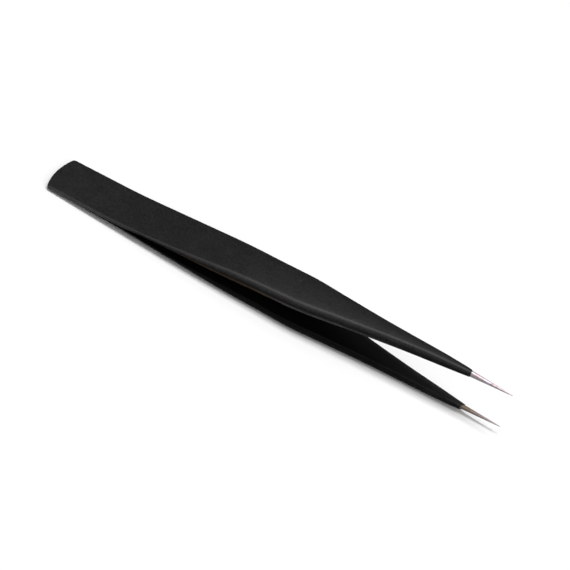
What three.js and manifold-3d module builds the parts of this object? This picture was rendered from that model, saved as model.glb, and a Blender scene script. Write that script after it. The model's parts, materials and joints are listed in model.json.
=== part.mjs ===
// Straight fine-point precision tweezers: two sprung steel leaves, spot welded together at a flat tail
// and dipped in a thin black coating that leaves only the two needle points bare.
//
// The leaves are drawn in their own frame, in millimetres: x runs from the tail end to the points, y runs
// across the leaves, and z rises from the plane midway between them. The lower leaf is the mirror of the
// upper one. At the end the pair is tilted so that it lies on the flat belly of its lower arm.
import * as THREE from "three";
import { mergeVertices } from "three/addons/utils/BufferGeometryUtils.js";
import Module from "manifold-3d";

const wasm = await Module();
wasm.setup();

// ---- Driving dimensions ----
const LENGTH = 120; // tail end to needle points
const WELD_END = 18.5; // the bare leaves lie face to face up to here
const GROOVE_START = 21; // the coating closes the crotch between the leaves up to here
const SPRING_START = 28; // the thin stretch that flexes
const PIVOT_X = 39; // middle of that stretch, which the arms swing about
const SPRING_END = 50; // the rigid arms begin
const GRIP_START = 58; // the inner faces close on each other from here to the points
const BELLY_END = 92; // the outer faces are flat from SPRING_END to here
const NOSE_END = 110.2; // the tapering profile is drawn as far as this
const COAT_ENDS = { upper: 109.4, lower: NOSE_END }; // where each arm's coating is cut off square
const TIP_HEIGHT = 5.15; // from the middle plane to the axis of a needle point
const TIP_RADIUS = 0.07;

const TAIL_HALF_WIDTH = 6.35;
const TAIL_END_HALF_WIDTH = 6.15;
const TAIL_HEIGHT = 0.55; // from the middle plane to the outer face
const TAIL_SAGITTA = 0.9; // bow of the rounded tail end
const TAIL_CORNER = 0.9;
const SPRING_GAP = 0.62; // half the gap between the leaves where the springs begin
const BELLY_START_HEIGHT = 3.52;
const BELLY_END_HEIGHT = 5.86;
const NOSE_END_HEIGHT = 6.11;
const NOSE_CLEARANCE = 0.14; // left between an arm's inner face and the middle plane when shut
const GRIP_CLEARANCE = 0.49; // the same at GRIP_START, so that the points meet first

const COAT = 0.15; // thickness of the coating with the slip below
const SLIP = 0.03; // clearance between the coating and the steel
const JOINT_GAP = 0.05; // clearance between the stretches of one leaf
const WELD_RADIUS = 1.5;
const WELD_HEIGHT = 0.36;
const WELD_SLIP = 0.06;
const WELD_PLACES = { rear_spot_weld: 6, front_spot_weld: 13 };

const ARC_STEPS = 4; // facets in each rounded edge
const CUT_MARGIN = 0.03; // keeps a cutting outline off the faces beside it

// A smooth curve through [x, value] points that never overshoots them.
function profile(...points) {
  const gaps = points.slice(1).map(([x], i) => x - points[i][0]);
  const slopes = points.slice(1).map(([, v], i) => (v - points[i][1]) / gaps[i]);
  const tangents = points.map((_, i) => {
    if (i === 0) return slopes[0];
    if (i === slopes.length) return slopes[i - 1];
    const [before, after] = [slopes[i - 1], slopes[i]];
    return before * after <= 0 ? 0 : (2 * before * after) / (before + after);
  });
  return (x) => {
    const last = points.length - 1;
    if (x <= points[0][0]) return points[0][1];
    if (x >= points[last][0]) return points[last][1];
    const i = points.findIndex(([next]) => next > x) - 1;
    const t = (x - points[i][0]) / gaps[i];
    const [a, b] = [points[i][1], points[i + 1][1]];
    const [ta, tb] = [tangents[i] * gaps[i], tangents[i + 1] * gaps[i]];
    return a + t * (ta + t * (3 * (b - a) - 2 * ta - tb + t * (2 * (a - b) + ta + tb)));
  };
}

const mix = (a, b, t) => a + (b - a) * Math.min(1, Math.max(0, t));

// Half the width of a leaf: parallel tail, slightly waisted grip, shoulder, long taper to the point.
const halfWidth = profile(
  [0, TAIL_END_HALF_WIDTH],
  [20, TAIL_HALF_WIDTH],
  [34, 6.33],
  [44, 6.22],
  [GRIP_START, 5.78],
  [66, 5.6],
  [76, 4.4],
  [86, 3.1],
  [96, 2.03],
  [104, 1.38],
  [NOSE_END, 0.8],
);

// Height of the outer face, before and after the flat belly.
const springOuter = profile(
  [WELD_END, TAIL_HEIGHT],
  [SPRING_START, 1.22],
  [PIVOT_X, 2.3],
  [SPRING_END, BELLY_START_HEIGHT],
);
const noseOuter = profile(
  [BELLY_END - 10, BELLY_END_HEIGHT - 0.53],
  [BELLY_END, BELLY_END_HEIGHT],
  [102, 6.19],
  [NOSE_END, NOSE_END_HEIGHT],
);

function outerHeight(x) {
  if (x < SPRING_END) return springOuter(x);
  if (x > BELLY_END) return noseOuter(x);
  const along = (x - SPRING_END) / (BELLY_END - SPRING_END);
  return mix(BELLY_START_HEIGHT, BELLY_END_HEIGHT, along);
}

// Height of the inner face: a crotch, the thin spring, the ramp up to the thick grip, and from there
// a little above the line that swings shut about the pivot.
const CLOSING_SLOPE = (TIP_HEIGHT - TIP_RADIUS) / (LENGTH - PIVOT_X);
const shutClearance = profile(
  [GRIP_START, GRIP_CLEARANCE],
  [66, 0.3],
  [76, NOSE_CLEARANCE],
  [86, NOSE_CLEARANCE],
);
const armInner = (x) => CLOSING_SLOPE * (x - PIVOT_X) + shutClearance(x);
const springInner = profile(
  [SPRING_START, SPRING_GAP],
  [37, 1.08],
  [48, 1.33],
  [GRIP_START, armInner(GRIP_START)],
);

function innerHeight(x) {
  if (x >= GRIP_START) return armInner(x);
  if (x >= SPRING_START) return springInner(x);
  return mix(0, SPRING_GAP, (x - GROOVE_START) / (SPRING_START - GROOVE_START));
}

// Radii of the rounded long edges, outside and inside.
const outerEdge = profile(
  [SPRING_START, 0.38],
  [PIVOT_X, 0.75],
  [SPRING_END, 1.05],
  [66, 1.2],
  [86, 1.15],
  [104, 0.98],
  [NOSE_END, 0.66],
);
const innerEdge = profile([SPRING_START, 0.12], [SPRING_END, 0.2], [86, 0.35], [NOSE_END, 0.45]);

// ---- Cross sections ----

// The coated section of an upper leaf at x.
function coatedSection(x) {
  return {
    x,
    half: halfWidth(x),
    top: outerHeight(x),
    bottom: innerHeight(x),
    topEdge: outerEdge(x),
    bottomEdge: innerEdge(x),
  };
}

// A section shrunk by the same amount all round.
function inset(section, by) {
  return {
    x: section.x,
    half: section.half - by,
    top: section.top - by,
    bottom: section.bottom + by,
    topEdge: Math.max(section.topEdge - by, 0.05),
    bottomEdge: Math.max(section.bottomEdge - by, 0.05),
  };
}

// The bare needle's section at x, from the steel under the end of the coating down to the point.
function needleSection(x, coatEnd) {
  const root = inset(coatedSection(coatEnd), COAT);
  const t = (x - coatEnd) / (LENGTH - coatEnd);
  const half = mix(root.half, TIP_RADIUS, t);
  const top = mix(root.top, TIP_HEIGHT + TIP_RADIUS, t);
  const bottom = mix(root.bottom, TIP_HEIGHT - TIP_RADIUS, t);
  const round = Math.min(half, (top - bottom) / 2) * 0.96;
  return { x, half, top, bottom, topEdge: Math.min(round, root.topEdge), bottomEdge: round };
}

// The points of a section, anticlockwise as seen from +x.
function ring({ x, half, top, bottom, topEdge, bottomEdge }) {
  const corners = [
    [half, top, topEdge, 0],
    [-half, top, topEdge, 1],
    [-half, bottom, bottomEdge, 2],
    [half, bottom, bottomEdge, 3],
  ];
  return corners.flatMap(([y, z, radius, quarter]) =>
    Array.from({ length: ARC_STEPS + 1 }, (_, i) => {
      const angle = ((quarter + i / ARC_STEPS) * Math.PI) / 2;
      const centreY = y - Math.sign(y) * radius;
      const centreZ = z + (quarter < 2 ? -radius : radius);
      return [x, centreY + radius * Math.cos(angle), centreZ + radius * Math.sin(angle)];
    }),
  );
}

// ---- Solids ----

function geometryOf(vertices, triangles) {
  const geometry = new THREE.BufferGeometry();
  geometry.setAttribute("position", new THREE.Float32BufferAttribute(vertices.flat(), 3));
  geometry.setIndex(triangles);
  geometry.computeVertexNormals();
  return geometry;
}

// The two triangles of a quadrilateral a-b-c-d.
const quad = (a, b, c, d) => [a, b, c, a, c, d];

// A solid bar skinned over a row of sections, with flat ends.
function bar(sections) {
  const rings = sections.map(ring);
  const n = rings[0].length;
  const last = (rings.length - 1) * n;
  const triangles = [];
  for (let s = 0; s < last; s += n)
    for (let i = 0; i < n; i++) {
      const j = (i + 1) % n;
      triangles.push(...quad(s + i, s + n + i, s + n + j, s + j));
    }
  for (let i = 1; i < n - 1; i++) triangles.push(0, i, i + 1, last, last + i + 1, last + i);
  triangles.forEach((_, k) => {
    if (k % 3 === 0) [triangles[k + 1], triangles[k + 2]] = [triangles[k + 2], triangles[k + 1]];
  });
  return geometryOf(rings.flat(), triangles);
}

// A sleeve, open at both ends, between a row of sections and the same row shrunk by its wall.
function sleeve(sections, wall) {
  const outer = sections.map(ring);
  const inner = sections.map((section) => ring(inset(section, wall)));
  const n = outer[0].length;
  const offset = outer.length * n;
  const last = offset - n;
  const triangles = [];
  for (let i = 0; i < n; i++) {
    const j = (i + 1) % n;
    for (let s = 0; s < last; s += n) {
      triangles.push(...quad(s + i, s + j, s + n + j, s + n + i));
      const t = s + offset;
      triangles.push(...quad(t + i, t + n + i, t + n + j, t + j));
    }
    triangles.push(...quad(i, offset + i, offset + j, j));
    triangles.push(...quad(last + i, last + j, last + offset + j, last + offset + i));
  }
  return geometryOf([...outer.flat(), ...inner.flat()], triangles);
}

function solid(geometry) {
  const bare = geometry.clone().deleteAttribute("normal").deleteAttribute("uv");
  const { attributes, index } = mergeVertices(bare, 1e-4);
  const vertProperties = attributes.position.array;
  const triVerts = new Uint32Array(index.array);
  return new wasm.Manifold(new wasm.Mesh({ numProp: 3, vertProperties, triVerts }));
}

function geometryFrom(manifold) {
  const { vertProperties, triVerts } = manifold.getMesh();
  const geometry = new THREE.BufferGeometry();
  geometry.setAttribute("position", new THREE.BufferAttribute(vertProperties, 3));
  geometry.setIndex(new THREE.BufferAttribute(triVerts, 1));
  return geometry;
}

// ---- Stations along the leaves ----

const between = (from, to, count) => Array.from({ length: count + 1 }, (_, i) => mix(from, to, i / count));
const springStations = between(SPRING_START + JOINT_GAP, SPRING_END - JOINT_GAP, 8);
const armStations = (coatEnd) => [
  ...between(SPRING_END, 66, 4),
  ...between(68.5, 76, 3),
  ...between(79, BELLY_END, 5),
  ...between(94.5, 104, 4),
  ...between(106.5, coatEnd, 1),
];
const needleStations = (coatEnd) => between(coatEnd, LENGTH, 4).slice(1);

// ---- Tail ----

// The plan of the tail, shrunk all round: a bowed end with small corners, open towards the front.
function tailPlan(by) {
  const clear = TAIL_HALF_WIDTH + 1;
  const front = SPRING_START + 2;
  const edge = TAIL_END_HALF_WIDTH - by;
  const cornerY = edge - TAIL_CORNER;
  const bowAt = (y) => TAIL_SAGITTA * (y / edge) ** 2;
  const cornerX = by + bowAt(cornerY);
  const sideX = by + TAIL_SAGITTA + TAIL_CORNER;
  const plan = new THREE.Shape();
  plan.moveTo(front, -clear);
  plan.lineTo(front, clear);
  plan.lineTo(sideX, clear);
  plan.lineTo(sideX, edge + CUT_MARGIN);
  plan.quadraticCurveTo(by + TAIL_SAGITTA, edge, cornerX, cornerY);
  plan.quadraticCurveTo(by - bowAt(cornerY), 0, cornerX, -cornerY);
  plan.quadraticCurveTo(by + TAIL_SAGITTA, -edge, sideX, -edge - CUT_MARGIN);
  plan.lineTo(sideX, -clear);
  plan.closePath();
  const height = 4 * TAIL_HEIGHT + 4;
  const prism = new THREE.ExtrudeGeometry(plan, { depth: height, bevelEnabled: false, curveSegments: 8 });
  return solid(prism.translate(0, 0, -height / 2));
}

// The bare upper leaf's section in the tail: face to face with the other leaf, then opening to the spring.
function tailLeafSection(x, grow = 0) {
  const coated = coatedSection(x);
  const parting = (x - WELD_END) / (SPRING_START - WELD_END);
  const bare = inset({ ...coated, bottom: 0 }, COAT);
  return {
    ...bare,
    half: bare.half + grow,
    top: bare.top + grow,
    bottom: mix(SLIP, SPRING_GAP + COAT, parting) - grow,
  };
}

const tailStations = [-1, WELD_END, GROOVE_START, SPRING_START];

function weldPocket(x) {
  const radius = WELD_RADIUS + WELD_SLIP;
  const cylinder = new THREE.CylinderGeometry(radius, radius, WELD_HEIGHT + 2 * WELD_SLIP, 20);
  return solid(cylinder.rotateX(Math.PI / 2).translate(x, 0, 0));
}

function tailLeaf() {
  const bare = solid(bar(tailStations.map((x) => tailLeafSection(x))));
  const leaf = bare.intersect(tailPlan(COAT));
  const pockets = Object.values(WELD_PLACES).map(weldPocket);
  return geometryFrom(pockets.reduce((rest, pocket) => rest.subtract(pocket), leaf));
}

// A lens-shaped spot weld that bridges the two leaves.
function spotWeld(x) {
  const half = WELD_HEIGHT / 2;
  const lens = [
    [0, -half],
    [0.7 * WELD_RADIUS, -0.8 * half],
    [WELD_RADIUS, 0],
    [0.7 * WELD_RADIUS, 0.8 * half],
    [0, half],
  ].map(([radius, z]) => new THREE.Vector2(radius, z));
  return new THREE.LatheGeometry(lens, 20).rotateX(Math.PI / 2).translate(x, 0, 0);
}

// The coating round the tail: one skin over both leaves, with a crotch where they part.
function tailCoating() {
  const outside = tailStations.map((x) => {
    const section = coatedSection(x);
    return { ...section, bottom: -section.top, bottomEdge: section.topEdge };
  });
  const skin = solid(bar(outside)).intersect(tailPlan(0));
  const room = tailStations.map((x) => tailLeafSection(x < SPRING_START ? x : x + 0.5, SLIP));
  const cavity = solid(bar(room)).intersect(tailPlan(COAT - SLIP));
  const crotch = new THREE.Shape();
  crotch.moveTo(GROOVE_START, 0);
  crotch.lineTo(SPRING_START + JOINT_GAP, -innerHeight(SPRING_START));
  crotch.lineTo(SPRING_START + JOINT_GAP, innerHeight(SPRING_START));
  crotch.closePath();
  const wedge = new THREE.ExtrudeGeometry(crotch, { depth: 4 * TAIL_HALF_WIDTH, bevelEnabled: false });
  wedge.translate(0, 0, -2 * TAIL_HALF_WIDTH).rotateX(Math.PI / 2);
  return geometryFrom(skin.subtract(cavity).subtract(mirrored(cavity)).subtract(solid(wedge)));
}

const mirrored = (manifold) => manifold.mirror([0, 0, 1]);

// ---- Materials and assembly ----

const steel = new THREE.MeshStandardMaterial({ color: 0xb8b2aa, roughness: 0.34, metalness: 1 });
const weldSteel = new THREE.MeshStandardMaterial({ color: 0x8f8b86, roughness: 0.6, metalness: 1 });
const coating = new THREE.MeshStandardMaterial({ color: 0x1b1b1b, roughness: 0.62, metalness: 0 });

function part(name, geometry, material) {
  const mesh = new THREE.Mesh(geometry, material);
  mesh.name = name;
  return mesh;
}

// One leaf forward of the weld, drawn as the upper leaf.
function leaf(side) {
  const coatEnd = COAT_ENDS[side];
  const spring = springStations.map(coatedSection);
  const arm = armStations(coatEnd).map(coatedSection);
  const bare = (section) => inset(section, COAT);
  const needle = needleStations(coatEnd).map((x) => needleSection(x, coatEnd));
  const group = new THREE.Group();
  group.add(
    part(`${side}_leaf_tail`, tailLeaf(), steel),
    part(`${side}_leaf_spring`, bar(spring.map(bare)), steel),
    part(`${side}_spring_coating`, sleeve(spring, COAT - SLIP), coating),
    part(`${side}_leaf_arm`, bar([...arm.map(bare), ...needle]), steel),
    part(`${side}_arm_coating`, sleeve(arm, COAT - SLIP), coating),
  );
  return group;
}

const pair = new THREE.Group();
const lowerLeaf = leaf("lower");
lowerLeaf.scale.z = -1;
pair.add(leaf("upper"), lowerLeaf, part("tail_coating", tailCoating(), coating));
for (const [name, x] of Object.entries(WELD_PLACES)) pair.add(part(name, spotWeld(x), weldSteel));

// Lay the pair on the flat belly of the lower arm, with the origin under the middle of its bounding box.
const BELLY_SLOPE = (BELLY_END_HEIGHT - BELLY_START_HEIGHT) / (BELLY_END - SPRING_END);
pair.rotation.y = -Math.atan(BELLY_SLOPE);
const box = new THREE.Box3().setFromObject(pair, true);
pair.position.set(-(box.min.x + box.max.x) / 2, 0, -box.min.z);

const tweezers = new THREE.Group();
tweezers.name = "precision_tweezers";
tweezers.add(pair);

export default tweezers;
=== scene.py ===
"""Precision tweezers: the looks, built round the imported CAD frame.

Shapes are worked out in the leaves' own frame, in millimetres: x runs from the tail end to the points, y
across the leaves and z up from the plane midway between them. place() turns that into the row frame, in
metres.
"""

import json
import math

import bpy
import numpy as np
from mathutils import Matrix, Vector


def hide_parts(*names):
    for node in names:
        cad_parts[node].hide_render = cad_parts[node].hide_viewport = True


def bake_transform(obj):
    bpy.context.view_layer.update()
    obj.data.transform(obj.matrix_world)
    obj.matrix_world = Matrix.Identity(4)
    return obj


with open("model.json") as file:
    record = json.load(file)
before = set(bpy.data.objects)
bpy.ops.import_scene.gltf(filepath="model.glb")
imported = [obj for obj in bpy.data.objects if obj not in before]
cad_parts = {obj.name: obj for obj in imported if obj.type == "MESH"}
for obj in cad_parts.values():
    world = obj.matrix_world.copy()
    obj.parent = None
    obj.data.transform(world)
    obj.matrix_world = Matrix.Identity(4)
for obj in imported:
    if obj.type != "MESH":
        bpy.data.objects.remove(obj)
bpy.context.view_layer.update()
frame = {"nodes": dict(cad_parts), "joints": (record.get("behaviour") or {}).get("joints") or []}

MM = 0.001

# ---- Driving dimensions, millimetres ----
LENGTH = 120.0
PIVOT_X = 39.0  # the joints' place along a leaf
SPRING_START, SPRING_END = 28.0, 50.0  # the stretch that flexes
GROOVE_START = 21.0  # where the two coated leaves part
TAIL_FLAT = 18.5  # the tail is parallel up to here
GRIP_START = 58.0
TURN_START, TURN_END = 62.0, 72.0  # where the outline turns from the grip to the taper
BELLY_END = 92.0
NOSE_END = 110.2
COAT_ENDS = {"upper": 109.4, "lower": 110.3}
COAT_SLANTS = {"upper": -0.15, "lower": 0.4}  # how far the coating's end reaches on at the far side
NEEDLE_SLIM = {"upper": 0.03, "lower": 0.12}  # how much the steel is thinned before it leaves the coating
NEEDLE_SLIM_REACH, NEEDLE_SLIM_RUN = 1.6, 0.8  # how far back from the end that begins, and over what length
TIP_HEIGHT = 5.15
TIP_RADIUS = 0.07
POINT_START = LENGTH - 0.15  # where the needle begins to round off
TAIL_HALF_WIDTH = 6.35
TAIL_END_HALF_WIDTH = 6.15
TAIL_HEIGHT = 0.55
TAIL_SAGITTA = 0.9
TAIL_CORNER = 0.95
TAIL_EDGE = 0.3
SPRING_GAP = 0.62  # half the gap between the leaves where the springs begin
BELLY_START_HEIGHT, BELLY_END_HEIGHT = 3.52, 5.86
NOSE_END_HEIGHT = 6.11
NOSE_CLEARANCE, GRIP_CLEARANCE = 0.14, 0.49  # of an inner face from the middle plane when shut
COAT = 0.14  # thickness of the coating
LIP_START = 1.6  # how far before the coating's end its lip begins
STEEL_INSET = 0.15  # from the coated surface down to the steel
SHRINK = 0.004  # keeps the smooth surface inside the faceted CAD surface


# ---- The leaves' frame, from the two joints ----

joint_place = {j["name"]: Vector(j["pos_m"]) for j in frame["joints"]}
upper_pivot, lower_pivot = joint_place["upper_arm_flex"], joint_place["lower_arm_flex"]
axis_up = (upper_pivot - lower_pivot).normalized()
axis_along = Vector((0, 1, 0)).cross(axis_up)
leaf_origin = (upper_pivot + lower_pivot) / 2 - axis_along * PIVOT_X * MM


def place(points):
    """Points of the leaves' frame, in millimetres, as an array in the row frame, in metres."""
    points = np.asarray(points, float) * MM
    basis = np.array([axis_along, (0, 1, 0), axis_up])
    return points @ basis + np.array(leaf_origin)


# ---- Profiles along a leaf ----


def profile(*points):
    """A smooth curve through (x, value) points that never overshoots them."""
    xs, values = np.array(points, float).T
    gaps = np.diff(xs)
    slopes = np.diff(values) / gaps
    tangents = np.concatenate([slopes[:1], np.zeros(len(slopes) - 1), slopes[-1:]])
    for i in range(1, len(slopes)):
        before, after = slopes[i - 1], slopes[i]
        if before * after > 0:
            tangents[i] = 2 * before * after / (before + after)

    def at(x):
        x = min(max(x, xs[0]), xs[-1])
        i = min(int(np.searchsorted(xs, x, side="right")) - 1, len(gaps) - 1)
        t = (x - xs[i]) / gaps[i]
        a, b = values[i], values[i + 1]
        ta, tb = tangents[i] * gaps[i], tangents[i + 1] * gaps[i]
        return a + t * (ta + t * (3 * (b - a) - 2 * ta - tb + t * (2 * (a - b) + ta + tb)))

    return at


def mix(a, b, t):
    return a + (b - a) * min(1.0, max(0.0, t))


half_width = profile(
    (0, TAIL_END_HALF_WIDTH),
    (20, TAIL_HALF_WIDTH),
    (34, 6.33),
    (44, 6.22),
    (GRIP_START, 5.78),
    (66, 5.6),
    (76, 4.4),
    (86, 3.1),
    (96, 2.03),
    (104, 1.38),
    (NOSE_END, 0.8),
)
spring_outer = profile(
    (TAIL_FLAT, TAIL_HEIGHT),
    (SPRING_START, 1.22),
    (PIVOT_X, 2.3),
    (SPRING_END, BELLY_START_HEIGHT),
)
nose_outer = profile(
    (BELLY_END - 10, BELLY_END_HEIGHT - 0.53),
    (BELLY_END, BELLY_END_HEIGHT),
    (102, 6.19),
    (NOSE_END, NOSE_END_HEIGHT),
)


def drawn_outer_height(x):
    if x < SPRING_END:
        return spring_outer(x)
    if x > BELLY_END:
        return nose_outer(x)
    return mix(BELLY_START_HEIGHT, BELLY_END_HEIGHT, (x - SPRING_END) / (BELLY_END - SPRING_END))


EASE_REACH = 4.0  # how far either side of a bend it is eased
EASE_START = 8.0  # the tail's end is left as drawn
EASE_STEPS = 4


def outer_height(x):
    """The outer face, with the bends between its stretches eased, as pressed and ground steel has them."""
    reach = min(EASE_REACH, max(0.0, 0.4 * (x - EASE_START)), max(0.0, NOSE_END - x))
    steps = range(-EASE_STEPS, EASE_STEPS + 1)
    return sum(drawn_outer_height(x + reach * k / EASE_STEPS) for k in steps) / len(steps)


shut_clearance = profile(
    (GRIP_START, GRIP_CLEARANCE),
    (66, 0.3),
    (76, NOSE_CLEARANCE),
    (86, NOSE_CLEARANCE),
)


def arm_inner(x):
    """The inner face forward of the grip: a little above the line that swings shut about the pivot."""
    return (TIP_HEIGHT - TIP_RADIUS) / (LENGTH - PIVOT_X) * (x - PIVOT_X) + shut_clearance(x)


spring_inner = profile(
    (SPRING_START, SPRING_GAP),
    (37, 1.08),
    (48, 1.33),
    (GRIP_START, arm_inner(GRIP_START)),
)


def inner_height(x):
    if x >= GRIP_START:
        return arm_inner(x)
    if x >= SPRING_START:
        return spring_inner(x)
    return mix(0.0, SPRING_GAP, (x - GROOVE_START) / (SPRING_START - GROOVE_START))


# The outer edges are rounded by quarter ellipses, a little wider than they are high.
edge_width = profile(
    (12, 0.52),
    (SPRING_START, 0.6),
    (PIVOT_X, 0.85),
    (SPRING_END, 1.15),
    (66, 1.35),
    (NOSE_END, 0.7),
)
edge_height = profile(
    (12, 0.42),
    (SPRING_START, 0.44),
    (PIVOT_X, 0.8),
    (SPRING_END, 1.1),
    (86, 1.18),
    (NOSE_END, 0.7),
)
inner_edge = profile(
    (GROOVE_START, 0.07),
    (SPRING_START, 0.12),
    (SPRING_END, 0.2),
    (86, 0.35),
    (NOSE_END, 0.45),
)
crown = profile(
    (SPRING_START, 0.0),
    (PIVOT_X, 0.06),
    (SPRING_END, 0.14),
    (70, 0.28),
    (88, 0.3),
    (NOSE_END, 0.14),
)


# ---- Cross sections ----

ARC_STEPS = 10
FACE_STEPS = 14
SIDE_STEPS = 8
MOST_OF_ROOM = 0.97  # what an edge may take of the thickness it rounds
GRIP_CROWN_POWER, NOSE_CROWN_POWER = 3.4, 2.0  # flat with round shoulders at the grip, an arch at the nose
CROWN_CHANGE_START, CROWN_CHANGE_RUN = 62.0, 24.0  # where the one turns into the other


def coated_section(x):
    """The outside of the coated leaf at x: its half width, heights, rounded edges and crown."""
    return {
        "x": x,
        "half": half_width(x) - SHRINK,
        "top": outer_height(x) - SHRINK,
        "bottom": inner_height(x) + SHRINK,
        "edge_width": edge_width(x),
        "edge_height": edge_height(x),
        "inner_edge": inner_edge(x),
        "crown": crown(x),
        "crown_power": mix(GRIP_CROWN_POWER, NOSE_CROWN_POWER, (x - CROWN_CHANGE_START) / CROWN_CHANGE_RUN),
        "bow": 0.0,
    }


def tail_end_section(s):
    """The coated section s from the bowed tail end, with its corners and its outer edge rounded."""
    section = coated_section(s)

    def drop(radius):
        return radius * (1 - math.sqrt(1 - (1 - s / radius) ** 2)) if s < radius else 0.0

    section["half"] -= drop(TAIL_CORNER)
    section["top"] -= drop(TAIL_EDGE)
    section["bow"] = TAIL_SAGITTA * (1 - mix(0, 1, s / 12)) ** 2
    return fitted(section)


def fitted(section):
    """The section with edges that fit its thickness."""
    room = section["top"] - section["bottom"] - section["inner_edge"]
    section["edge_height"] = min(section["edge_height"], MOST_OF_ROOM * room)
    return section


def inset(section, by):
    """The section taken in all round."""
    smaller = dict(section)
    smaller["half"] -= by
    smaller["top"] -= by
    smaller["bottom"] += by
    for edge in ("edge_width", "edge_height", "inner_edge"):
        smaller[edge] = max(section[edge] - by, 0.04)
    return fitted(smaller)


def ring(section):
    """The closed line of points of a section, from the middle of its +y side, anticlockwise seen from +x."""
    half, top, bottom = section["half"], section["top"], section["bottom"]
    wide, high, inner = section["edge_width"], section["edge_height"], section["inner_edge"]
    quarter = np.linspace(0, math.pi / 2, ARC_STEPS + 1)
    arcs = [
        (half - wide, top - high, wide, high),
        (-half + wide, top - high, wide, high),
        (-half + inner, bottom + inner, inner, inner),
        (half - inner, bottom + inner, inner, inner),
    ]
    corners = []
    for k, (y, z, rise_y, rise_z) in enumerate(arcs):
        turn = quarter + k * math.pi / 2
        corners.append(np.column_stack([y + rise_y * np.cos(turn), z + rise_z * np.sin(turn)]))
    points = []
    steps = [FACE_STEPS, SIDE_STEPS, FACE_STEPS, SIDE_STEPS]
    for k, corner in enumerate(corners):
        following = corners[(k + 1) % 4][0]
        points.extend(corner)
        points.extend(corner[-1] + (following - corner[-1]) * i / steps[k] for i in range(1, steps[k]))
    points = np.roll(np.array(points), SIDE_STEPS // 2, axis=0)
    share = np.clip((points[:, 1] - bottom) / (top - bottom), 0, 1)
    across = points[:, 0] / half
    points[:, 1] -= section["crown"] * np.abs(across) ** section["crown_power"] * share**2
    x = np.full(len(points), section["x"]) + section["bow"] * across**2
    return np.column_stack([x, points])


RING = len(ring(coated_section(60)))


# ---- Meshes ----


def marks(on_outer_edge, on_inner_edge, on_side):
    """A number for each point of a ring: 0 on its faces, and on its edges and sides what the three functions
    give, each of how far round the edge or up the side, from the inner face, the point is."""
    steps = [i / ARC_STEPS for i in range(ARC_STEPS + 1)]
    outer = [on_outer_edge(t) for t in steps]
    inner = [on_inner_edge(t) for t in steps]
    side = [on_side(i / SIDE_STEPS) for i in range(1, SIDE_STEPS)]
    face = [0.0] * (FACE_STEPS - 1)
    values = outer + face + outer[::-1] + side[::-1] + inner[::-1] + face + inner + side
    return np.roll(values, SIDE_STEPS // 2)


# Where on a ring the marks fall: burnishing and a painted highlight on the outer edges, a painted reflection
# on the sides, and a painted highlight on the rims of the inner face.
EDGE_MARKS = marks(lambda t: math.sin(math.pi * t), lambda t: 0.0, lambda t: 0.0)
SIDE_MARKS = marks(lambda t: (1 - t) ** 2.5, lambda t: t, lambda t: 1.0)
RIM_MARKS = marks(lambda t: 0.0, lambda t: t**0.5, lambda t: mix(1, 0, (t - 0.3) / 0.35))
# a painted highlight line along the inner rims, on the upper leaf only
RIM_HIGHLIGHT = {"upper": 1.0, "lower": 0.0}
SHADE_BY_LEAF = {"upper": 0.0, "lower": 1.0}  # how much painted shade darkens the inner face and sides of each leaf, under the other leaf
SHADE_FADE_START, SHADE_FADE_RUN = 88.0, 16.0  # where that begins to fade towards the points, and over what length
TAIL_SHEEN_ENDS = {"upper": (16, 27), "lower": (10, 17)}  # where the painted reflection on the tail's sides ends
SHEEN_START, SHEEN_RISE = 50.0, 14.0  # where the painted sheen on the grip's outer face begins, and over what length
EDGE_BURNISH_AND_HIGHLIGHT, GRIP_SHEEN = 0.1, 0.13  # how strongly the outer edges are burnished and brightened by a painted highlight, and how strong the painted sheen on the grip is
LEAST_HEIGHT = 0.01  # keeps a share of a section's height from dividing by nothing


def shade_under_upper_leaf(section_ring):
    """Painted shade: from 1 on the inner face, which the other leaf overhangs, to 0 on the outer face and
    towards the points.
    """
    height = section_ring[:, 2]
    depth = (height.max() - height) / max(np.ptp(height), LEAST_HEIGHT)
    return mix(1, 0, (section_ring[0, 0] - SHADE_FADE_START) / SHADE_FADE_RUN) * depth**1.5


def painted_grip_sheen(section_ring):
    """A painted sheen on the grip's outer face, growing towards its -y edge and the highlight there, from 0
    to 1.
    """
    x, y, z = section_ring.T
    outward = (z - z.min()) / max(np.ptp(z), LEAST_HEIGHT)
    across = 0.5 - 0.5 * y / y.max()
    return mix(0, 1, (x[0] - SHEEN_START) / SHEEN_RISE) * across**1.6 * outward**3


def wear_and_painted_light(section_rings, side):
    """Burnishing with painted highlight, reflection and sheen, the painted rim highlight, and painted shade,
    each from 0 to 1 at each point of the rings.
    """
    start, end = TAIL_SHEEN_ENDS[side]
    tail = [mix(1, 0, (float(r[:, 0].mean()) - start) / (end - start)) for r in section_rings]
    # burnishing and a painted highlight on the outer edges, a painted reflection on the tail's sides, and a
    # painted sheen on the grip
    burnish_and_sheen = [np.maximum(EDGE_BURNISH_AND_HIGHLIGHT * EDGE_MARKS, t * SIDE_MARKS) for t in tail]
    burnish_and_sheen = [np.maximum(b, GRIP_SHEEN * painted_grip_sheen(r)) for b, r in zip(burnish_and_sheen, section_rings)]
    return {
        "burnish_and_sheen": np.concatenate(burnish_and_sheen),
        "rim": np.tile(RIM_MARKS * RIM_HIGHLIGHT[side], len(section_rings)),
        "painted_shade": np.concatenate([SHADE_BY_LEAF[side] * shade_under_upper_leaf(r) for r in section_rings]),
    }


def skin(count):
    """Quadrilaterals between successive rings, of which there are count."""
    faces = []
    for a in range(0, (count - 1) * RING, RING):
        b = a + RING
        for i in range(RING):
            j = (i + 1) % RING
            faces.append((a + i, a + j, b + j, b + i))
    return faces


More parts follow.
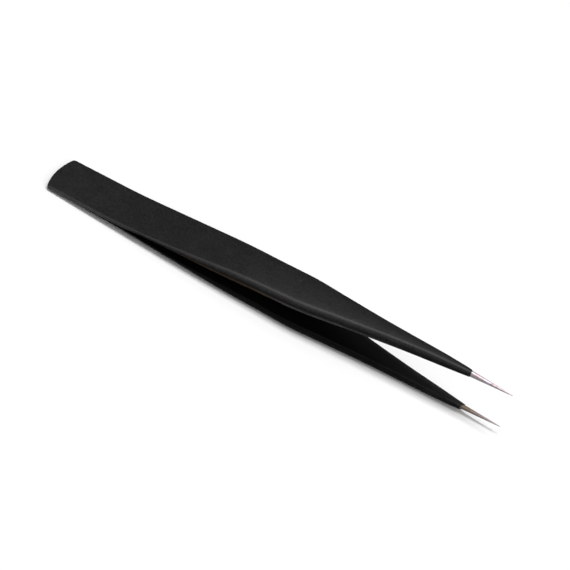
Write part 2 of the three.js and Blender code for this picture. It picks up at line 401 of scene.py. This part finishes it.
def cap(first, flip=False):
    """Faces that close the ring whose points are numbered from first: a fan on each straight side, and
    strips from its outer face to its inner face. They face +x, or -x with flip."""
    edge, middle = SIDE_STEPS // 2, RING // 2
    faces = [(i, i + 1, edge + 1) for i in range(-edge, edge)]
    faces.append((-edge, edge + 1, -edge - 1))
    faces += [(i, i + 1, -i - 1, -i) for i in range(edge + 1, middle - edge - 1)]
    faces.append((middle - edge - 1, middle + edge, middle + edge + 1))
    faces += [(i, i + 1, middle - edge - 1) for i in range(middle - edge, middle + edge)]
    faces = [tuple(first + i % RING for i in face) for face in faces]
    return [face[::-1] for face in faces] if flip else faces


def make_piece(name, rings, side):
    """A closed mesh object through rings in the upper leaf's frame, mirrored for the lower leaf, with its
    place in the leaf, its burnishing and its painted light and shade stored as attributes for its material."""
    faces = skin(len(rings)) + cap(0, flip=True) + cap((len(rings) - 1) * RING)
    points = np.concatenate(rings)
    if side == "lower":
        points = points * (1, 1, -1)
        faces = [f[::-1] for f in faces]
    mesh = bpy.data.meshes.new(name)
    mesh.from_pydata(place(points).tolist(), [], faces)
    mesh.validate()
    mesh.attributes.new("leaf_place", "FLOAT_VECTOR", "POINT").data.foreach_set("vector", points.ravel())
    for mark, values in wear_and_painted_light(rings, side).items():
        mesh.attributes.new(mark, "FLOAT", "POINT").data.foreach_set("value", values)
    mesh.shade_smooth()
    piece = bpy.data.objects.new(name, mesh)
    bpy.context.scene.collection.objects.link(piece)
    return piece


def spaced(start, end, step):
    """Stations from start up to but not including end, about a step apart."""
    count = max(1, round((end - start) / step))
    return [start + (end - start) * i / count for i in range(count)]


def tail_end_stations():
    """Stations close enough together to round the tail's end and its corners."""
    rounded = [TAIL_EDGE * (1 - math.cos(math.radians(a))) for a in range(0, 90, 15)]
    corner = [TAIL_EDGE + (TAIL_CORNER - TAIL_EDGE) * t for t in (0, 0.2, 0.4, 0.7)]
    return rounded + corner


WANDER = ((0.03, 1, 0.7), (0.015, 3, 2.1), (0.01, 7, 0.0))  # waves round an edge: height, count and phase


def ragged(section_ring, slant, amount):
    """The ring moved along the leaf, as the edge of a dipped coating leans and wanders."""
    turn = np.arange(RING) * 2 * math.pi / RING
    wander = sum(height * np.sin(count * turn + phase) for height, count, phase in WANDER)
    lean = slant * section_ring[:, 1] / section_ring[:, 1].max()
    moved = section_ring.copy()
    moved[:, 0] += amount * (lean + wander)
    return moved


# The rounded lip that ends the coating: how far along from the end, how deep below the outside, and what
# share of the end's lean and wander.
LIP = (
    (-1.2, 0.002, 0.1),
    (-0.7, 0.016, 0.5),
    (-0.35, 0.035, 0.85),
    (-0.12, 0.056, 1),
    (-0.04, 0.07, 1),
    (-0.01, 0.085, 1),
    (0, 0.1, 1),
    (-0.01, 0.12, 1),
    (-0.05, 0.133, 1),
    (-0.3, COAT, 1),
)


def coating(side):
    """The black skin of one leaf, from the rounded tail end to the square-cut lip round the bare needle."""
    end = COAT_ENDS[side]
    stations = tail_end_stations() + spaced(TAIL_CORNER, TAIL_FLAT, 0.8) + spaced(TAIL_FLAT, TURN_START, 0.5)
    stations += spaced(TURN_START, TURN_END, 0.25) + spaced(TURN_END, end - LIP_START, 0.5)
    rings = [ring(tail_end_section(x)) for x in stations]
    for along, deep, share in LIP:
        base = ring({**inset(coated_section(end + along), deep), "x": end + along})
        rings.append(ragged(base, COAT_SLANTS[side], share))
    inner_stations = spaced(1.2, end - 1, 1.0)[::-1]
    rings += [ring(inset(tail_end_section(x), COAT)) for x in inner_stations]
    return make_piece(f"{side}_coating", rings, side)


def nose_steel_section(x, end, side):
    """The steel inside the last of the coating, ground thinner before it leaves."""
    section = inset(coated_section(x), STEEL_INSET)
    slim = NEEDLE_SLIM[side] * mix(0, 1, (x - end + NEEDLE_SLIM_REACH) / NEEDLE_SLIM_RUN)
    section["half"] -= slim
    section["top"] -= slim
    return section


def needle_section(x, end, side):
    """The bare needle: a straight taper from the coated nose to the point, rounder towards the point."""
    root = nose_steel_section(end, end, side)
    t = (x - end) / (LENGTH - end)
    section = dict(root)
    section["x"] = x
    section["half"] = mix(root["half"], TIP_RADIUS, t)
    section["top"] = mix(root["top"], TIP_HEIGHT + TIP_RADIUS, t)
    section["bottom"] = mix(root["bottom"], TIP_HEIGHT - TIP_RADIUS, t)
    most = MOST_OF_ROOM * min(section["half"], (section["top"] - section["bottom"]) / 2)
    section["edge_width"] = min(most, mix(root["edge_width"], most, 3 * t))
    section["edge_height"] = min(most, mix(root["edge_height"], most, 3 * t))
    section["inner_edge"] = min(0.3 * most, root["inner_edge"])
    section["crown"] = mix(root["crown"], 0, 3 * t)
    return section


def point_section(needle, x, share):
    """The rounded-off end of the needle, a share of the section where that begins."""
    size = share * needle["half"]
    edges = dict.fromkeys(("edge_width", "edge_height", "inner_edge"), 0.95 * size)
    heights = {"top": TIP_HEIGHT + size, "bottom": TIP_HEIGHT - size}
    return {**needle, **heights, **edges, "x": x, "half": size, "crown": 0}


def steel_leaf(side):
    """One leaf of spring steel, from the tail under the coating to the bare needle point."""
    end = COAT_ENDS[side]
    sections = [inset(tail_end_section(x), STEEL_INSET) for x in [1.4, 1.5] + spaced(2, end - 2, 2.0)]
    sections += [nose_steel_section(x, end, side) for x in spaced(end - 2, end, 0.4)]
    sections += [needle_section(x, end, side) for x in spaced(end, POINT_START, 0.25)]
    last = needle_section(POINT_START, end, side)
    rounding = ((POINT_START, 1), (LENGTH - 0.06, 0.8), (LENGTH - 0.02, 0.5), (LENGTH, 0.15))
    sections += [point_section(last, x, share) for x, share in rounding]
    return make_piece(f"{side}_leaf", [ring(s) for s in sections], side)


# ---- Materials ----


class Nodes:
    """A short way to write a node material."""

    def __init__(self, name):
        self.material = bpy.data.materials.new(name)
        self.material.use_nodes = True
        self.tree = self.material.node_tree
        self.shader = self.tree.nodes["Principled BSDF"]

    def add(self, kind, inputs=None, **settings):
        node = self.tree.nodes.new(kind)
        for key, value in settings.items():
            setattr(node, key, value)
        for key, value in (inputs or {}).items():
            self.set(node.inputs[key], value)
        return node

    def set(self, socket, value):
        if isinstance(value, bpy.types.NodeSocket):
            self.tree.links.new(value, socket)
        else:
            socket.default_value = value

    def attribute(self, name, output="Vector"):
        return self.add("ShaderNodeAttribute", attribute_name=name).outputs[output]

    def math(self, operation, a, b=0.0, clamp=False):
        node = self.add("ShaderNodeMath", {0: a, 1: b}, operation=operation, use_clamp=clamp)
        return node.outputs[0]

    def stretch(self, vector, scale):
        return self.add("ShaderNodeMapping", {"Vector": vector, "Scale": scale}).outputs[0]

    def noise(self, vector, scale, detail=2.0, roughness=0.5):
        inputs = {"Vector": vector, "Scale": scale, "Detail": detail, "Roughness": roughness}
        return self.add("ShaderNodeTexNoise", inputs).outputs[0]

    def remap(self, value, low, high, to_low=0.0, to_high=1.0):
        """The value with low to high stretched to to_low to to_high, and held there beyond them."""
        inputs = {"Value": value, "From Min": low, "From Max": high, "To Min": to_low, "To Max": to_high}
        return self.add("ShaderNodeMapRange", inputs).outputs[0]

    def blend(self, factor, a, b):
        """The colour a where factor is 0, and b where it is 1."""
        node = self.add("ShaderNodeMix", data_type="RGBA")
        self.set(node.inputs[0], factor)
        self.set(node.inputs[6], a)
        self.set(node.inputs[7], b)
        return node.outputs[2]

    def bump(self, height, distance, normal=None):
        inputs = {"Height": height, "Distance": distance, "Strength": 1.0}
        if normal is not None:
            inputs["Normal"] = normal
        return self.add("ShaderNodeBump", inputs).outputs[0]


COAT_BLACK = (0.0045, 0.0045, 0.0046, 1)
COAT_GREY = (0.0132, 0.0131, 0.0130, 1)
# painted shade: near black for the lower leaf's inner face and sides, under the upper leaf
COAT_PAINTED_SHADE = (0.0004, 0.0004, 0.0004, 1)
# a light grey for real burnishing on the outer edges and for the painted highlight, sheen and reflection
# laid over it
BURNISH_AND_SHEEN_GREY = (0.09, 0.09, 0.092, 1)
# painted highlight on the upper leaf's inner rims: brown at mid-length, grey further forward
RIM_HIGHLIGHT_BROWN = (0.052, 0.026, 0.009, 1)
RIM_HIGHLIGHT_GREY = (0.055, 0.053, 0.05, 1)
SPECK = (0.07, 0.07, 0.067, 1)


def coating_material():
    """Matt black dipped coating: fine grain over a faint orange peel and a few specks; outer edges burnished
    and lit by a painted highlight; a painted sheen on the grip, a painted reflection on the tail's sides, a
    painted highlight along the upper leaf's inner rims, and painted shade under the upper leaf."""
    m = Nodes("matt_black_coating")
    at = m.attribute("leaf_place")
    burnish_and_sheen, rim = m.attribute("burnish_and_sheen", "Fac"), m.attribute("rim", "Fac")
    along = m.add("ShaderNodeSeparateXYZ", {0: at}).outputs[0]

    cloud = m.noise(at, 0.22, 3)
    mottle = m.noise(at, 2.4, 3, 0.65)
    tone = m.math("ADD", m.math("MULTIPLY", cloud, 0.18), m.math("MULTIPLY", mottle, 0.82))
    colour = m.blend(m.remap(tone, 0.43, 0.57), COAT_BLACK, COAT_GREY)
    # painted shade on the lower leaf's inner face and sides
    colour = m.blend(m.attribute("painted_shade", "Fac"), colour, COAT_PAINTED_SHADE)

    streaks = m.noise(m.stretch(at, (0.35, 1.5, 1.5)), 1.0, 3)
    # burnishing and a painted highlight on the outer edges, a painted reflection on the tail's sides, a
    # painted sheen on the grip
    burnish_and_sheen = m.math("MULTIPLY", burnish_and_sheen, m.remap(streaks, 0.3, 0.6, 0.6, 1))
    colour = m.blend(burnish_and_sheen, colour, BURNISH_AND_SHEEN_GREY)
    # painted highlight along the upper leaf's inner rims, brown at mid-length and grey further forward
    rim_highlight_colour = m.blend(m.remap(along, 54, 66), RIM_HIGHLIGHT_BROWN, RIM_HIGHLIGHT_GREY)
    rim_stretch = m.math("MULTIPLY", m.remap(along, 24, 36), m.remap(along, 94, 78))
    rim_highlight = m.math("MULTIPLY", m.math("MULTIPLY", rim, m.remap(streaks, 0.25, 0.6, 0.5, 1)), rim_stretch)
    colour = m.blend(rim_highlight, colour, rim_highlight_colour)

    cells = m.add("ShaderNodeTexVoronoi", {"Vector": at, "Scale": 0.4})
    near = m.remap(cells.outputs["Distance"], 0.08, 0.03)
    chosen = m.add("ShaderNodeSeparateColor", {0: cells.outputs["Color"]}).outputs[0]
    speck = m.math("MULTIPLY", near, m.remap(chosen, 0.88, 0.89))
    colour = m.blend(speck, colour, SPECK)
    m.set(m.shader.inputs["Base Color"], colour)

    rubbed = m.noise(m.stretch(at, (0.25, 1.1, 1.1)), 1.0, 4, 0.65)
    m.set(m.shader.inputs["Roughness"], m.remap(rubbed, 0.3, 0.7, 0.43, 0.5))
    m.shader.inputs["Specular IOR Level"].default_value = 0.28

    peel = m.bump(m.noise(at, 1.1, 2), 0.00002)
    grain = m.bump(m.noise(at, 9.0, 3, 0.6), 0.000004, peel)
    m.set(m.shader.inputs["Normal"], grain)
    return m.material


STEEL = (0.74, 0.69, 0.76, 1)
MAUVE = (0.58, 0.42, 0.46, 1)
STRAW = (0.27, 0.215, 0.145, 1)
WELD_DARK, WELD_LIGHT = (0.22, 0.2, 0.19, 1), (0.45, 0.42, 0.4, 1)
FLOOR_DARK, FLOOR_LIGHT = (0.9, 0.9, 0.9, 1), (0.92, 0.92, 0.92, 1)


def steel_material():
    """Ground steel, heat tinted mauve, and straw towards the coating; over most of the lower leaf a darker
    straw, heat tint and painted shade together.
    """
    m = Nodes("ground_steel")
    at = m.attribute("leaf_place")
    place_xyz = m.add("ShaderNodeSeparateXYZ", {0: at})
    along, up = place_xyz.outputs[0], place_xyz.outputs[2]
    lines = m.noise(m.stretch(at, (11, 1.4, 1.4)), 1.0, 4, 0.65)
    patches = m.noise(at, 1.3, 2)
    colour = m.blend(m.remap(patches, 0.4, 0.65), MAUVE, STEEL)
    near_coating = m.remap(along, LENGTH - 2, NOSE_END, 0, 0.75)
    # darker straw over the lower leaf: a heat tint that also paints in the shade the needle lies in
    lower_leaf_shade_and_tint = m.remap(up, 1, -1, -0.6, 0.25)
    reach = m.math("ADD", near_coating, lower_leaf_shade_and_tint)
    straw = m.math("ADD", reach, m.remap(patches, 0.3, 0.7, -0.15, 0.15), clamp=True)
    colour = m.blend(straw, colour, STRAW)
    m.set(m.shader.inputs["Base Color"], colour)
    m.shader.inputs["Metallic"].default_value = 0.58
    m.set(m.shader.inputs["Roughness"], m.remap(lines, 0.3, 0.7, 0.38, 0.5))
    m.set(m.shader.inputs["Normal"], m.bump(lines, 0.0000008))
    return m.material


def weld_material():
    """The dull, rippled metal of a spot weld."""
    m = Nodes("spot_weld_steel")
    at = m.add("ShaderNodeTexCoord").outputs["Object"]
    ripple = m.noise(at, 2500, 4, 0.6)
    m.set(m.shader.inputs["Base Color"], m.blend(ripple, WELD_DARK, WELD_LIGHT))
    m.shader.inputs["Metallic"].default_value = 1.0
    m.set(m.shader.inputs["Roughness"], m.remap(ripple, 0.3, 0.7, 0.45, 0.7))
    m.set(m.shader.inputs["Normal"], m.bump(ripple, 0.00002))
    return m.material


def floor_material():
    """A plain, matt, nearly white floor."""
    m = Nodes("pale_floor")
    at = m.add("ShaderNodeTexCoord").outputs["Object"]
    cloud = m.noise(at, 3, 2)
    m.set(m.shader.inputs["Base Color"], m.blend(cloud, FLOOR_DARK, FLOOR_LIGHT))
    m.shader.inputs["Roughness"].default_value = 0.9
    m.shader.inputs["Specular IOR Level"].default_value = 0.1
    return m.material


# ---- Assembly ----


def finish_piece(piece, material):
    """Gives a piece its material."""
    piece.data.materials.append(material)


def bend_with(piece):
    """Bakes a piece's placement into its mesh."""
    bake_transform(piece)


coat_finish, steel_finish, weld_finish = coating_material(), steel_material(), weld_material()
for side in ("upper", "lower"):
    black = coating(side)
    finish_piece(black, coat_finish)
    bend_with(black)
    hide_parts("tail_coating", f"{side}_spring_coating", f"{side}_arm_coating")
    steel = steel_leaf(side)
    finish_piece(steel, steel_finish)
    bend_with(steel)
    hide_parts(f"{side}_leaf_tail", f"{side}_leaf_spring", f"{side}_leaf_arm")

for name in ("rear_spot_weld", "front_spot_weld"):
    weld = frame["nodes"][name]
    weld.data.materials.clear()
    weld.data.materials.append(weld_finish)


# ---- Floor, light and camera ----


CAMERA_AZIMUTH, CAMERA_ELEVATION, CAMERA_ROLL = 14.15, 43.35, 20.53  # degrees
CAMERA_TARGET = Vector((-0.03, 6.71, 0)) * MM
CAMERA_DISTANCE = 490.4 * MM
CAMERA_LENS = 132.66
WORLD_STRENGTH = 0.06
FLOOR_SIZE = 6.0


def direction(azimuth, elevation):
    """The way from the object at an azimuth (0 is towards -Y) and an elevation, in degrees."""
    a, e = math.radians(azimuth), math.radians(elevation)
    return Vector((math.sin(a) * math.cos(e), -math.cos(a) * math.cos(e), math.sin(e)))


def add_floor():
    bpy.ops.mesh.primitive_grid_add(x_subdivisions=2, y_subdivisions=2, size=FLOOR_SIZE, location=(0, 0, 0))
    floor = bpy.context.object
    floor.name = "floor"
    floor.data.materials.append(floor_material())
    floor.visible_glossy = False


def add_area(name, azimuth, elevation, distance, size, power):
    """A soft rectangular light that faces the object."""
    light = bpy.data.lights.new(name, "AREA")
    light.shape = "RECTANGLE"
    light.size, light.size_y = size
    light.energy = power
    lamp = bpy.data.objects.new(name, light)
    bpy.context.scene.collection.objects.link(lamp)
    way = direction(azimuth, elevation)
    lamp.location = way * distance
    lamp.rotation_euler = way.to_track_quat("Z", "Y").to_euler()


def add_camera():
    """A camera with a long lens that looks at a point on the floor, rolled about its line of sight."""
    camera = bpy.data.objects.new("camera", bpy.data.cameras.new("camera"))
    camera.data.lens = CAMERA_LENS
    camera.data.clip_start = 0.01
    way = direction(CAMERA_AZIMUTH, CAMERA_ELEVATION)
    stand = Matrix.Translation(CAMERA_TARGET + way * CAMERA_DISTANCE)
    upright = way.to_track_quat("Z", "Y").to_matrix().to_4x4()
    camera.matrix_world = stand @ upright @ Matrix.Rotation(math.radians(CAMERA_ROLL), 4, "Z")
    bpy.context.scene.collection.objects.link(camera)
    bpy.context.scene.camera = camera


def add_world():
    """A faint even light from all round."""
    world = bpy.data.worlds.new("studio")
    world.use_nodes = True
    background = world.node_tree.nodes["Background"]
    background.inputs["Color"].default_value = (1, 1, 1, 1)
    background.inputs["Strength"].default_value = WORLD_STRENGTH
    bpy.context.scene.world = world


add_floor()
add_world()
add_area("overhead_strip", azimuth=180, elevation=86, distance=1.0, size=(0.7, 0.28), power=8.2)
add_area("tail_fill", azimuth=-68, elevation=25, distance=1.0, size=(0.6, 0.6), power=2.8)
add_area("nose_fill", azimuth=64, elevation=25, distance=1.0, size=(0.6, 0.6), power=3.2)
add_area("back_soft", azimuth=135, elevation=50, distance=1.0, size=(0.7, 0.7), power=1.6)
add_camera()
bpy.context.scene.view_settings.view_transform = "Standard"
